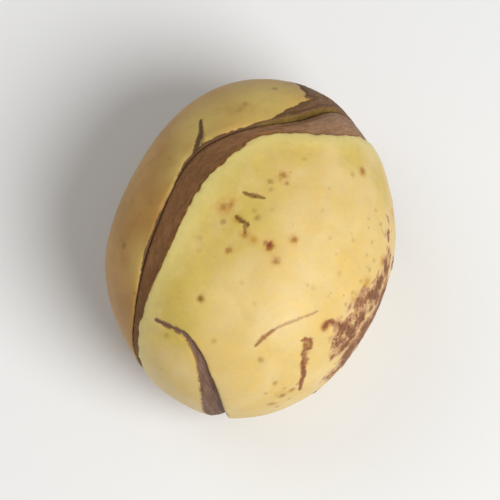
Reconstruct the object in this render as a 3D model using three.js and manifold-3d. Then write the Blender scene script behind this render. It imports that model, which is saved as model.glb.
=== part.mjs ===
// Kola nut: one seed made of two cotyledons lying face to face.
// The front cotyledon carries the brown margin beside the seam and a side cleft,
// the back cotyledon carries the small flat spot the nut lies on.
// Millimetres, +Z up, lying on Z = 0.

import * as THREE from 'three';
import * as BufferGeometryUtils from 'three/addons/utils/BufferGeometryUtils.js';
import Module from 'manifold-3d';

// Overall form of the seed
const halfLength = 20.0;
const halfWidth = 16.3;
const halfHeight = 14.3;
const longAxisAzimuth = 72.4;
const fullness = 2.3;

// Flat spot underneath
const flatSpotRise = 0.6;
const flatSpotBlend = 0.25;

// Seam between the cotyledons: the way its axis points, and the gap across it
const seamAzimuth = -45;
const seamTilt = 58;
const seamGap = 0.3;
const seamRadius = 17;

// Brown margin of the front cotyledon, sunk below the skin, more so beside the pale lobe
const marginDepth = 0.42;
const gapSideDepth = 0.15;
const lipHeight = 0.1;
const rimRound = 0.22;

// Side cleft in the front cotyledon
const cleftDepth = 1.35;
const cleftLeft = 1.9;
const cleftRight = 0.3;
const cleftClear = 0.5;

// Mesh density
const columns = 84;
const skinRows = 15;
const faceRows = 7;

// Slow waves of the outline seen from above: waves per turn, height, azimuth of a crest
const outlineWaves = [
  [1, 0.265, 44],
  [3, -0.117, 1],
  [4, 0.203, 6.8],
];

// Soft bumps and hollows of the skin: azimuth, elevation, spread in degrees, height
const swells = [
  [-172, 72, 17, -0.55],
  [-60, 52, 24, 0.45],
  [150, 38, 15, -0.4],
  [112, 22, 14, 0.35],
  [-150, 20, 16, -0.3],
  [-128, 48, 13, 0.3],
  [20, 20, 18, -0.35],
  [-20, -30, 22, 0.4],
  [-115, -38, 18, 0.45],
  [75, -35, 20, -0.5],
  [170, -28, 17, 0.5],
  [35, -50, 16, 0.35],
];

// How the seam swings off its mean plane: angle round the axis, spread, height
const seamSwings = [
  [38.7, 18.5, 1.84],
  [89.2, 22.9, -3.13],
  [149.2, 24.2, 1.19],
  [195.6, 16.4, -1.29],
  [252.6, 33.8, 0.95],
  [345.0, 56.0, -0.66],
];

// Width of the front margin round the seam: angle, spread, extra width
const marginWidth = 1.5;
const marginSwells = [
  [8, 24, 2.25],
  [86, 24, 1.85],
  [128, 26, 1.2],
  [215, 22, 0.5],
  [262, 18, 1.0],
  [318, 20, 0.9],
];

// Width of the narrow back margin, and of the place where the slit stands open
const backMarginWidth = 0.35;
const backMarginSwells = [
  [30, 14, 1.4],
  [300, 20, 0.6],
];
const openSlitAngle = 30;
const openSlitSpread = 17;
const openSlitDepth = 0.75;

// Line of the cleft on the skin: azimuth, elevation, opening from 0 to 1
const cleftLine = [
  [-135.5, 32.2, 0.05],
  [-121.9, 35.9, 0.13],
  [-112.3, 32.0, 0.27],
  [-105.7, 24.2, 0.49],
  [-101.2, 13.3, 0.79],
  [-98.8, -3.0, 1.0],
  [-97.7, -17.0, 0.55],
  [-97.4, -26.0, 0.12],
];
const cleftSteps = 21;

const degree = Math.PI / 180;
const backGap = -seamGap / 2;
const frontGap = seamGap / 2;

// Directions of the seam: two lying in its plane and the axis across it
const acrossAxis = directionAt(seamAzimuth, 90 - seamTilt);
const levelAxis = directionAt(seamAzimuth + 90, 0);
const risingAxis = new THREE.Vector3().crossVectors(acrossAxis, levelAxis);

function directionAt(azimuth, elevation) {
  const flat = Math.cos(elevation * degree);
  return new THREE.Vector3(
    flat * Math.cos(azimuth * degree),
    flat * Math.sin(azimuth * degree),
    Math.sin(elevation * degree),
  );
}

// Height of a bell curve, with the angle counted round the circle
function bell(angle, centre, spread) {
  const away = THREE.MathUtils.euclideanModulo(angle - centre + 180, 360) - 180;
  return Math.exp(-((away / spread) ** 2));
}

function sumOfBells(angle, list) {
  let total = 0;
  for (const [centre, spread, height] of list) {
    total += height * bell(angle, centre, spread);
  }
  return total;
}

// Distance from the upright axis to the outline seen from above
function outlineRadius(azimuth) {
  const turn = (azimuth - longAxisAzimuth) * degree;
  const along = Math.cos(turn) / halfLength;
  const across = Math.sin(turn) / halfWidth;
  let radius = 1 / Math.hypot(along, across);
  for (const [count, height, crest] of outlineWaves) {
    radius += height * Math.cos(count * (azimuth - crest) * degree);
  }
  return radius;
}

// Soft bumps and hollows felt in one direction
function swellAt(direction) {
  let total = 0;
  for (const [azimuth, elevation, spread, height] of swells) {
    const angle = direction.angleTo(directionAt(azimuth, elevation)) / degree;
    total += height * Math.exp(-((angle / spread) ** 2));
  }
  return total;
}

// Distance from the middle of the seed to its skin in one direction
function skinRadius(direction) {
  const azimuth = Math.atan2(direction.y, direction.x) / degree;
  const side = Math.hypot(direction.x, direction.y) / outlineRadius(azimuth);
  const rise = Math.abs(direction.z) / halfHeight;
  const round = (side ** fullness + rise ** fullness) ** (-1 / fullness);
  return round + swellAt(direction);
}

function onSkin(direction) {
  const unit = direction.clone().normalize();
  return unit.multiplyScalar(skinRadius(unit));
}

// Outward normal of the skin in one direction
function skinNormal(direction) {
  const side = new THREE.Vector3(0, 0, 1).cross(direction).normalize();
  const up = new THREE.Vector3().crossVectors(direction, side);
  const here = onSkin(direction);
  const toSide = onSkin(direction.clone().addScaledVector(side, 0.01)).sub(here);
  const toUp = onSkin(direction.clone().addScaledVector(up, 0.01)).sub(here);
  return toSide.cross(toUp).normalize();
}

// Presses the underside into the flat spot, with a soft edge round it
function pressFlat(point) {
  const floor = flatSpotRise - halfHeight;
  const over = point.z - floor;
  if (over < -flatSpotBlend) {
    point.z = floor;
  } else if (over < flatSpotBlend) {
    point.z = floor + (over + flatSpotBlend) ** 2 / (4 * flatSpotBlend);
  }
  return point;
}

function seamDirection(angle, elevation) {
  const flat = Math.cos(elevation);
  return new THREE.Vector3()
    .addScaledVector(levelAxis, flat * Math.cos(angle * degree))
    .addScaledVector(risingAxis, flat * Math.sin(angle * degree))
    .addScaledVector(acrossAxis, Math.sin(elevation));
}

// Height of the seam surface at a place in the seam plane
function seamHeight(along, rising) {
  const angle = Math.atan2(rising, along) / degree;
  const share = Math.hypot(along, rising) / seamRadius;
  return sumOfBells(angle, seamSwings) * share * share;
}

// Elevation at which a meridian of the skin stands a given height over the seam
function elevationOf(angle, level) {
  let low = -1.2;
  let high = 1.2;
  for (let step = 0; step < 40; step += 1) {
    const middle = (low + high) / 2;
    const direction = seamDirection(angle, middle);
    const radius = skinRadius(direction);
    const flat = radius * Math.cos(middle);
    const along = flat * Math.cos(angle * degree);
    const rising = flat * Math.sin(angle * degree);
    const height = radius * Math.sin(middle) - seamHeight(along, rising);
    if (height < level) {
      low = middle;
    } else {
      high = middle;
    }
  }
  return (low + high) / 2;
}

function skinPoint(angle, elevation, inset) {
  const direction = seamDirection(angle, elevation);
  return direction.multiplyScalar(skinRadius(direction) - inset);
}

// Rim of the front cotyledon from the seam outwards: level over the seam, depth under the skin
function frontRim(angle) {
  const width = marginWidth + sumOfBells(angle, marginSwells);
  const open = openSlitDepth * bell(angle, openSlitAngle, openSlitSpread);
  return [
    [frontGap, gapSideDepth + rimRound + open],
    [frontGap + 0.15, gapSideDepth + 0.3 * rimRound + 0.8 * open],
    [0.3 + 0.35 * width, 0.5 * (gapSideDepth + marginDepth)],
    [0.8 * width - 0.1, marginDepth],
    [width - 0.05, 0.55 * marginDepth],
    [width + 0.3, 0.05],
    [width + 0.85, -lipHeight],
    [width + 1.8, -0.4 * lipHeight],
  ];
}

// Rim of the back cotyledon, the same way, counted downwards
function backRim(angle) {
  const width = backMarginWidth + sumOfBells(angle, backMarginSwells);
  const sunk = 0.3 * bell(angle, 26, 18);
  return [
    [backGap, rimRound + sunk],
    [backGap - 0.15, 0.3 * rimRound + sunk],
    [-0.35 - 0.5 * width, sunk],
    [-0.3 - width, 0.5 * sunk],
    [-0.8 - width, 0],
    [-2.0 - width, 0],
  ];
}

// Rings of points from the seam up to near the pole of the skin
function skinRings(rim, side) {
  const rings = rim(0).map(() => []);
  for (let row = 1; row < skinRows; row += 1) {
    rings.push([]);
  }
  for (let column = 0; column < columns; column += 1) {
    const angle = (360 * column) / columns;
    const levels = rim(angle);
    let elevation = 0;
    levels.forEach(([level, inset], row) => {
      elevation = elevationOf(angle, level);
      rings[row].push(skinPoint(angle, elevation, inset));
    });
    const pole = (side * Math.PI) / 2;
    for (let row = 1; row < skinRows; row += 1) {
      const higher = THREE.MathUtils.lerp(elevation, pole, row / skinRows);
      rings[levels.length - 1 + row].push(skinPoint(angle, higher, 0));
    }
  }
  return rings;
}

// Rings of the inner face, from the rim in to the middle
function faceRings(rimRing, gap) {
  const rings = [];
  for (let row = 1; row < faceRows; row += 1) {
    const share = 1 - row / faceRows;
    rings.push(rimRing.map((point) => facePoint(point, share, gap)));
  }
  return rings;
}

function facePoint(rimPoint, share, gap) {
  const along = rimPoint.dot(levelAxis) * share;
  const rising = rimPoint.dot(risingAxis) * share;
  return new THREE.Vector3()
    .addScaledVector(levelAxis, along)
    .addScaledVector(risingAxis, rising)
    .addScaledVector(acrossAxis, seamHeight(along, rising) + gap);
}

// Lays the rim itself on the seam surface, so both inner faces stay parallel
function settleRim(ring, gap) {
  return ring.map((point) => facePoint(point, 1, gap));
}

// Closed body from one end point over a row of rings to the other end point
function closedBody(first, rings, last, flip) {
  const count = rings[0].length;
  const points = [first, ...rings.flat(), last];
  const faces = [];
  const end = points.length - 1;
  const lastRow = rings.length - 1;
  for (let column = 0; column < count; column += 1) {
    const next = (column + 1) % count;
    faces.push([0, 1 + column, 1 + next]);
    for (let row = 0; row < lastRow; row += 1) {
      const upper = 1 + row * count;
      const lower = upper + count;
      faces.push([upper + column, lower + column, lower + next]);
      faces.push([upper + column, lower + next, upper + next]);
    }
    const low = 1 + lastRow * count;
    faces.push([end, low + next, low + column]);
  }
  const geometry = new THREE.BufferGeometry();
  const ordered = faces.map((face) => (flip ? [face[0], face[2], face[1]] : face));
  geometry.setAttribute(
    'position',
    new THREE.Float32BufferAttribute(points.flatMap((point) => point.toArray()), 3),
  );
  geometry.setIndex(ordered.flat());
  return geometry;
}

function cotyledon(side) {
  const gap = side > 0 ? frontGap : backGap;
  const rings = skinRings(side > 0 ? frontRim : backRim, side);
  rings[0] = settleRim(rings[0], gap);
  const face = faceRings(rings[0], gap);
  const skin = rings.reverse().map((ring) => ring.map(pressFlat));
  const pole = pressFlat(skinPoint(0, (side * Math.PI) / 2, 0));
  const middle = acrossAxis.clone().multiplyScalar(gap);
  return closedBody(pole, [...skin, ...face], middle, side < 0);
}

// Wedge that opens the cleft: steep on its right, sloping on its left
function cleftWedge() {
  const stops = new THREE.CatmullRomCurve3(cleftLine.map((stop) => new THREE.Vector3(...stop)));
  const steps = stops.getPoints(cleftSteps);
  const line = steps.map(({ x, y }) => onSkin(directionAt(x, y)));
  const rings = steps.map(({ x, y, z: opening }, index) => {
    const before = line[Math.max(index - 1, 0)];
    const after = line[Math.min(index + 1, line.length - 1)];
    const along = after.clone().sub(before).normalize();
    const left = along.clone().cross(skinNormal(directionAt(x, y))).normalize();
    const up = left.clone().cross(along);
    const depth = cleftDepth * opening ** 0.6;
    const spread = opening * (1 + cleftClear / depth);
    const top = line[index].clone().addScaledVector(up, cleftClear);
    const floor = line[index].clone().addScaledVector(up, -depth);
    const leftEdge = top.clone().addScaledVector(left, cleftLeft * spread);
    const rightEdge = top.clone().addScaledVector(left, -cleftRight * spread);
    return [leftEdge, floor, rightEdge];
  });
  return closedBody(centreOf(rings[0]), rings, centreOf(rings[rings.length - 1]), true);
}

function centreOf(ring) {
  const centre = new THREE.Vector3();
  ring.forEach((point) => centre.add(point));
  return centre.divideScalar(ring.length);
}

// Solid copy of a geometry for cutting, and back again
function toSolid(wasm, geometry) {
  const plain = geometry.clone();
  plain.deleteAttribute('normal');
  plain.deleteAttribute('uv');
  const merged = BufferGeometryUtils.mergeVertices(plain, 1e-5);
  const mesh = new wasm.Mesh({
    numProp: 3,
    vertProperties: new Float32Array(merged.attributes.position.array),
    triVerts: new Uint32Array(merged.index.array),
  });
  return new wasm.Manifold(mesh);
}

function fromSolid(solid) {
  const mesh = solid.getMesh();
  const geometry = new THREE.BufferGeometry();
  const positions = new Float32Array(mesh.vertProperties);
  geometry.setAttribute('position', new THREE.BufferAttribute(positions, 3));
  geometry.setIndex(new THREE.BufferAttribute(new Uint32Array(mesh.triVerts), 1));
  return geometry;
}

function namedMesh(name, geometry, colour, roughness) {
  geometry.translate(0, 0, halfHeight - flatSpotRise);
  geometry.computeVertexNormals();
  const material = new THREE.MeshStandardMaterial({ color: colour, roughness, metalness: 0 });
  const mesh = new THREE.Mesh(geometry, material);
  mesh.name = name;
  return mesh;
}

// Puts the middle of the whole nut's box on the upright axis
function centreOverOrigin(parent) {
  const middle = new THREE.Box3().setFromObject(parent).getCenter(new THREE.Vector3());
  parent.children.forEach((mesh) => mesh.geometry.translate(-middle.x, -middle.y, 0));
}

const wasm = await Module();
wasm.setup();

const frontWhole = toSolid(wasm, cotyledon(1));
const cleft = toSolid(wasm, cleftWedge());
const frontGeometry = fromSolid(frontWhole.subtract(cleft));
const backGeometry = cotyledon(-1);

const group = new THREE.Group();
group.name = 'kola_nut';
group.add(namedMesh('cotyledon_front', frontGeometry, 0xe2c98a, 0.5));
group.add(namedMesh('cotyledon_back', backGeometry, 0xc4a468, 0.55));
centreOverOrigin(group);

export default group;
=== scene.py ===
from math import atan2, cos, degrees, exp, hypot, pi, radians, sin

import bpy
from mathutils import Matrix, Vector, kdtree, noise


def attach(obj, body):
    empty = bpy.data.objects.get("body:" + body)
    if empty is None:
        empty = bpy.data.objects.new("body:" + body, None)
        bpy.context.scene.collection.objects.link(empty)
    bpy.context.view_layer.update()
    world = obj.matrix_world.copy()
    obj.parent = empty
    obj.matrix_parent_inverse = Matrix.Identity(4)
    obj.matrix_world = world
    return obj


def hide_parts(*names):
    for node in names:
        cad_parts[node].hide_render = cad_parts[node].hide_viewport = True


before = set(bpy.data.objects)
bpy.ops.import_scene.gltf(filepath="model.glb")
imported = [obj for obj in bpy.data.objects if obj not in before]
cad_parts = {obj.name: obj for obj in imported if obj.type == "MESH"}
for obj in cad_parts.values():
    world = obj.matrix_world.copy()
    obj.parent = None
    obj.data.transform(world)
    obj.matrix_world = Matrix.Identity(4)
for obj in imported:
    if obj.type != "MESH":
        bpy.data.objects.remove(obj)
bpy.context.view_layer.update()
print("frame loaded")

# The seed as a whole, in millimetres and degrees; its seam and margins run as in the solids
nut = {
    "middle": (-0.07, -0.21, 13.7),   # the seed's middle in the frame
    "seamAzimuth": -45,   # the way the axis across the seam points
    "seamTilt": 58,
    "seamRadius": 17,
    "seamSwings": [(38.7, 18.5, 1.84), (89.2, 22.9, -3.13), (149.2, 24.2, 1.19),
                   (195.6, 16.4, -1.29), (252.6, 33.8, 0.95), (345.0, 56.0, -0.66)],   # angle, spread, height
    "marginWidth": 1.5,
    "marginSwells": [(8, 24, 2.25), (86, 24, 1.85), (128, 26, 1.2), (215, 22, 0.5),
                     (262, 18, 1.0), (318, 20, 0.9)],
    "backMarginSwells": [(30, 14, 1.4), (300, 20, 0.6)],
    "seamClosing": 0.142, "closingReach": (0.15, 0.9),   # each half's face comes this much nearer the seam
    "rimFilling": 0.17, "fillingReach": (0.15, 0.6),   # each rim comes this much further out beside the seam
    # where the seam runs higher on the skin than in the solids, and how far that is felt above and below it
    "seamDrift": [(28, 20, 1.15)], "driftAbove": 3.0, "driftBelow": 5.0, "driftFull": 0.2,
    "rimRadius": (3, 9),   # from the axis: the rims' changes start at the first and are whole at the second
    "slit": [(37, 20, 1)],   # where the seam stands open
    "flowRadius": 14, "flowAlong": 0.6, "flowAcross": 3.5,   # run of the margin's fibres
    "skinFrom": (-0.1, 0.5),   # the skin's own relief begins here, counted from the margin
    "mergeWithin": 1e-6, "roundingLevels": 2, "calmSteps": 5,
    "voxel": 0.213,   # size of the fine mesh
}

# How the nut was photographed: steeply from above, standing to its south
picture = {
    "elevation": 76,
    "distance": 500,
    "frameWidth": 58,   # millimetres seen across the picture at the nut's middle
}

# Marks are looked up at closely placed samples along their paths
marking = {
    "lineSteps": 30, "hiddenLineSteps": 60, "crustSteps": 8, "hiddenCrustSteps": 12,
    "lineEnds": 0.4,   # width of a line at its ends, against its middle
    "crustBends": [(2.2, 1), (0.8, 0.4)],   # how a crust's outline strays: size, share
    "outside": 60,   # well clear of the nut
}


def directionAt(azimuth, elevation):
    flat = cos(radians(elevation))
    azimuth = radians(azimuth)
    return Vector((flat * cos(azimuth), flat * sin(azimuth), sin(radians(elevation))))


middle = Vector(nut["middle"])
acrossSeam = directionAt(nut["seamAzimuth"], 90 - nut["seamTilt"])
levelSeam = directionAt(nut["seamAzimuth"] + 90, 0)
risingSeam = acrossSeam.cross(levelSeam)
toEye = directionAt(-90, picture["elevation"])
pictureUp = directionAt(90, 90 - picture["elevation"])
pictureRight = Vector((1, 0, 0))


def bells(angle, shapes):   # sum of bell curves round the seam
    total = 0
    for centre, spread, height in shapes:
        away = (angle - centre + 180) % 360 - 180
        total += height * exp(-(away / spread) ** 2)
    return total


def smooth(low, high, value):   # 0 at low, 1 at high; low may be the larger of the two
    share = min(max((value - low) / (high - low), 0), 1)
    return share * share * (3 - 2 * share)


def seamPlace(point):   # angle round the seam, height over it
    along, rising = point.dot(levelSeam), point.dot(risingSeam)
    angle = degrees(atan2(rising, along))
    share = hypot(along, rising) / nut["seamRadius"]
    return angle, point.dot(acrossSeam) - bells(angle, nut["seamSwings"]) * share * share


def grain(point, size, seed):   # soft noise between -1 and 1, size in millimetres
    return noise.noise(point / size + Vector((seed, seed * 1.7, -seed)))


def straying(point, size):   # three soft noises at once, the same in each run
    return Vector([grain(point, size, seed) for seed in (31, 42, 53)])


# ---- places on the skin: as in the photograph, or by azimuth and elevation where it hides them

def skinAlong(half, start, way, beyond):   # where the ray meets the skin, or else the skin nearest to a place
    found, place, normal, index = half.ray_cast(start / 1000, way)
    if not found:
        found, place, normal, index = half.closest_point_on_mesh(beyond / 1000)
    return place * 1000


def onSkin(half, right, up):
    eye = middle + toEye * picture["distance"]
    aim = (middle + pictureRight * right + pictureUp * up - eye).normalized()
    return skinAlong(half, eye, aim, eye + aim * picture["distance"])


def inPicture(point):   # millimetres right and up in the photograph; the point is seen from the nut's middle
    nearer = picture["distance"] / (picture["distance"] - point.dot(toEye))
    return point.dot(pictureRight) * nearer, point.dot(pictureUp) * nearer


def onHiddenSkin(half, azimuth, elevation):
    way = directionAt(azimuth, elevation)
    return skinAlong(half, middle + way * marking["outside"], -way, middle + way * nut["seamRadius"])


def placeDents(half, dents):   # from azimuth and elevation to places seen from the nut's middle
    return [(onHiddenSkin(half, azimuth, elevation) - middle, radius, depth)
            for azimuth, elevation, radius, depth in dents]


def roundedPath(stops, steps):   # smooth line through the stops
    stops = [Vector(stop) for stop in stops]
    last = len(stops) - 1
    path = []
    for index in range(last):
        before, start, end, after = (stops[min(max(index + shift, 0), last)] for shift in (-1, 0, 1, 2))
        for step in range(steps):
            t = step / steps
            path.append(0.5 * (2 * start + (end - before) * t
                               + (2 * before - 5 * start + 4 * end - after) * t * t
                               + (3 * start - before - 3 * end + after) * t ** 3))
    return path + [stops[last]]


def fineCopy(nodeName, pieceName):   # smooth, evenly meshed copy of one half
    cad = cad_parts[nodeName]
    bpy.ops.object.select_all(action="DESELECT")
    cad.select_set(True)
    bpy.context.view_layer.objects.active = cad
    bpy.ops.object.duplicate()
    half = bpy.context.active_object
    half.name = pieceName
    half.data.name = pieceName
    half.data.materials.clear()
    bpy.ops.object.mode_set(mode="EDIT")
    bpy.ops.mesh.select_all(action="SELECT")
    bpy.ops.mesh.remove_doubles(threshold=nut["mergeWithin"])
    bpy.ops.mesh.tris_convert_to_quads()
    bpy.ops.object.mode_set(mode="OBJECT")
    rounding = half.modifiers.new("rounding", "SUBSURF")
    rounding.levels = rounding.render_levels = nut["roundingLevels"]
    even = half.modifiers.new("even", "REMESH")
    even.mode = "VOXEL"
    even.voxel_size = nut["voxel"] / 1000
    calm = half.modifiers.new("calm", "SMOOTH")
    calm.factor = 0.5
    calm.iterations = nut["calmSteps"]
    for modifier in list(half.modifiers):
        bpy.ops.object.modifier_apply(modifier=modifier.name)
    bpy.ops.object.shade_smooth()
    return half


def keepNumbers(mesh, name, values):
    mesh.attributes.new(name, "FLOAT", "POINT").data.foreach_set("value", values)


def keepVectors(mesh, name, values):
    flat = [number for value in values for number in value]
    mesh.attributes.new(name, "FLOAT_VECTOR", "POINT").data.foreach_set("vector", flat)


def keepAll(mesh, numbers, flows):
    for name, values in numbers.items():
        keepNumbers(mesh, name, values)
    for name, values in flows.items():
        keepVectors(mesh, name, values)


def searchTree(samples):
    tree = kdtree.KDTree(len(samples))
    for index, sample in enumerate(samples):
        tree.insert(sample[1], index)
    tree.balance()
    return tree


def keepNearest(mesh, name, samples, keepWay):   # way and distance to the nearest mark, in its own half widths
    tree = searchTree(samples)
    away, near, tones = [], [], []
    for vertex in mesh.vertices:
        point = vertex.co * 1000
        place, index, distance = tree.find(point)
        away.append((point - place) / samples[index][0])
        near.append(distance / samples[index][0])
        tones.append(samples[index][-1])
    if keepWay:
        keepVectors(mesh, name + "Away", away)
    keepNumbers(mesh, name + "Near", near)
    keepNumbers(mesh, name + "Tone", tones)


def keepPatches(mesh, name, samples):   # 1 at a patch's middle, 0 beyond its radius; overlaps add up
    tree = searchTree(samples)
    reach = max(size for size, place in samples)
    cover = []
    for vertex in mesh.vertices:
        bare = 1
        for place, index, distance in tree.find_range(vertex.co * 1000, reach):
            bare *= 1 - smooth(samples[index][0], 0, distance)
        cover.append(1 - bare)
    keepNumbers(mesh, name, cover)


def keepCrusts(mesh, samples, wander):   # as a patch, but with a straying outline
    tree = searchTree(samples)
    reach = max(size for size, place in samples)
    cover = []
    for vertex in mesh.vertices:
        point = vertex.co * 1000
        strayed = point.copy()
        for size, share in marking["crustBends"]:
            strayed += straying(point, size) * wander * share
        found = tree.find_range(strayed, reach)
        covers = [smooth(samples[index][0], 0, distance) for place, index, distance in found]
        cover.append(max(covers, default=0))
    keepNumbers(mesh, "crusts", cover)


def keepMarks(half, marks):   # measured on the smooth half, before its relief is made
    ends = marking["lineEnds"]
    for kind in ("cuts", "scars"):
        samples = []
        for halfWidth, stops, tone in marks[kind]:
            path = roundedPath(stops, marking["lineSteps"])
            for index, stop in enumerate(path):
                taper = ends + (1 - ends) * sin(pi * index / (len(path) - 1)) ** 0.5
                samples.append((halfWidth * taper, onSkin(half, *stop), tone))
        for halfWidth, stops, tone in marks["hidden" + kind.capitalize()]:
            for stop in roundedPath(stops, marking["hiddenLineSteps"]):
                samples.append((halfWidth, onHiddenSkin(half, *stop), tone))
        keepNearest(half.data, kind, samples, True)
    spots = [(radius, onSkin(half, *place), tone) for radius, *place, tone in marks["spots"]]
    keepNearest(half.data, "spots", spots, False)
    for kind in ("blushes", "greens"):
        hidden = marks["hidden" + kind.capitalize()]
        patches = [(radius, onSkin(half, *place)) for radius, *place in marks[kind]]
        patches += [(radius, onHiddenSkin(half, *place)) for radius, *place in hidden]
        keepPatches(half.data, kind, patches)
    crusts = []
    for radius, stops in marks["crusts"]:
        crusts += [(radius, onSkin(half, *stop)) for stop in roundedPath(stops, marking["crustSteps"])]
    for radius, stops in marks["hiddenCrusts"]:
        path = roundedPath(stops, marking["hiddenCrustSteps"])
        crusts += [(radius, onHiddenSkin(half, *stop)) for stop in path]
    keepCrusts(half.data, crusts, marks["crustWander"])


# ---- relief that both halves share

def closing(point, angle, level, fill):   # brings the rims together and leaves a fine line
    height = abs(level)
    towards = nut["seamClosing"] * (1 - smooth(*nut["closingReach"], height)) * (-1 if level > 0 else 1)
    outwards = point - acrossSeam * point.dot(acrossSeam)
    outer = smooth(*nut["rimRadius"], outwards.length)
    lift = fill * nut["rimFilling"] * (1 - smooth(*nut["fillingReach"], height)) * outer
    fade = smooth(nut["driftAbove"] if level > 0 else nut["driftBelow"], nut["driftFull"], height)
    drift = bells(angle, nut["seamDrift"]) * fade * outer
    return acrossSeam * towards + outwards.normalized() * lift - acrossSeam * drift


def fraying(point, settings):   # how an edge strays: wide waves, then fine teeth
    wide, fine, seed = settings["frayGrains"]
    return settings["fray"] * (grain(point, wide, seed) + 0.7 * grain(point, fine, seed + 5))


def seamFlow(angle, level):   # place along and across the seam, and the streak of a fibre there
    along = radians(angle)
    flow = Vector((nut["flowRadius"] * cos(along), nut["flowRadius"] * sin(along), level))
    thread = (flow.x * nut["flowAlong"], flow.y * nut["flowAlong"], level * nut["flowAcross"])
    return flow, noise.noise(Vector(thread))


def withSkinRelief(lift, point, settings, dents, skin, crust):   # dents, swells, wrinkles and flakes
    lift -= sum(depth * exp(-((point - place).length / radius) ** 2) for place, radius, depth in dents) * skin
    for kind in ("swell", "wrinkle"):
        height, size, seed = settings[kind]
        lift += height * grain(point, size, seed) * skin
    height, size, seed = settings["flakes"]
    return lift + height * crust * (0.5 + grain(point, size, seed))


# ---- front half: pale lobe, sunken brown margin, side cleft

front = {
    # depth under the skin, by distance from the lobe's edge: in the solid, and here
    "oldEdge": [(-0.6, 0.42), (-0.05, 0.23), (0.3, 0.05), (0.85, -0.1), (1.8, -0.04), (2.6, 0)],
    "newEdge": [(-0.4, 0.42), (0.2, 0.04), (0.8, -0.06), (1.9, -0.03), (2.6, 0)],
    "fray": 0.18, "frayGrains": (1.3, 0.5, 3),   # how far the lobe's edge wanders: wide, fine, seed
    "frayPatches": (5, 6),   # it wanders more in some places than in others: size, seed
    "flush": 0.12, "flushWithin": (0.2, 1.0),   # the margin rises by this towards the seam
    "smoothFrom": (0.3, 0.7), "smoothUpTo": (3.5, 5.5), "smoothSteps": 30,   # the lobe's rounded edge
    "fibre": 0.035,
    "slitDips": [(41, 15, 0.4)], "dipWithin": (0.2, 1.2),   # the margin sinks beside the open seam
    "reliefFrom": (0.1, 0.6),   # heights over the seam; below them the inner face stays flat
    "paleEnd": [(20, 34, 1)],
    # where the lobe reaches further over the margin, and where less far
    "edgeShifts": [(165, 26, 0.36), (145, 20, 0.15), (62, 12, 0.45), (29, 20, -0.95)],
    "swell": (0.12, 6.5, 1), "wrinkle": (0.03, 2.1, 5), "flakes": (0.09, 0.6, 9),   # height, size, seed
    # shallow dents in the hidden flanks: azimuth, elevation, radius, depth
    "dents": [(-72, 4, 4.0, 0.14), (-38, -26, 4.6, 0.26), (-14, 2, 3.6, 0.12), (4, -26, 4.0, 0.22),
              (-62, -40, 4.2, 0.22), (-48, 26, 4.4, 0.12)],
}

# The side cleft: a hairline at its upper end, which opens towards the lower edge
cleft = {
    "left": 1.9, "right": 0.3,   # width either side of its floor
    "stops": [(-135.5, 32.2, 0.05), (-121.9, 35.9, 0.13), (-112.3, 32.0, 0.27), (-105.7, 24.2, 0.49),
              (-101.2, 13.3, 0.79), (-98.8, -3.0, 1.0), (-97.7, -17.0, 0.55), (-97.4, -26.0, 0.12)],
    "east": 4, "north": -6, "above": 0.5,   # it lies west and south of these, and this far over the seam
    "reach": 3,   # skin further away than this isn't touched
    "wideFrom": (0.25, 0.6),   # openings between which the left rim turns into a wall
    "rimWeight": 0.7, "rimWidth": 0.4,   # smoothing of the left rim
    "hairWidth": 0.2, "hairDepth": 0.24, "hairUpTo": (0.2, 0.5), "hairStart": 0.6, "hairBrown": 0.17,
    "floorFrom": 0.25, "floorWaves": 0.09,
    "lip": 0.04, "lipPlace": -0.22, "lipWidth": 0.16,
    "wallBrown": 0.34,   # the brown goes on up the left wall
}

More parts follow.
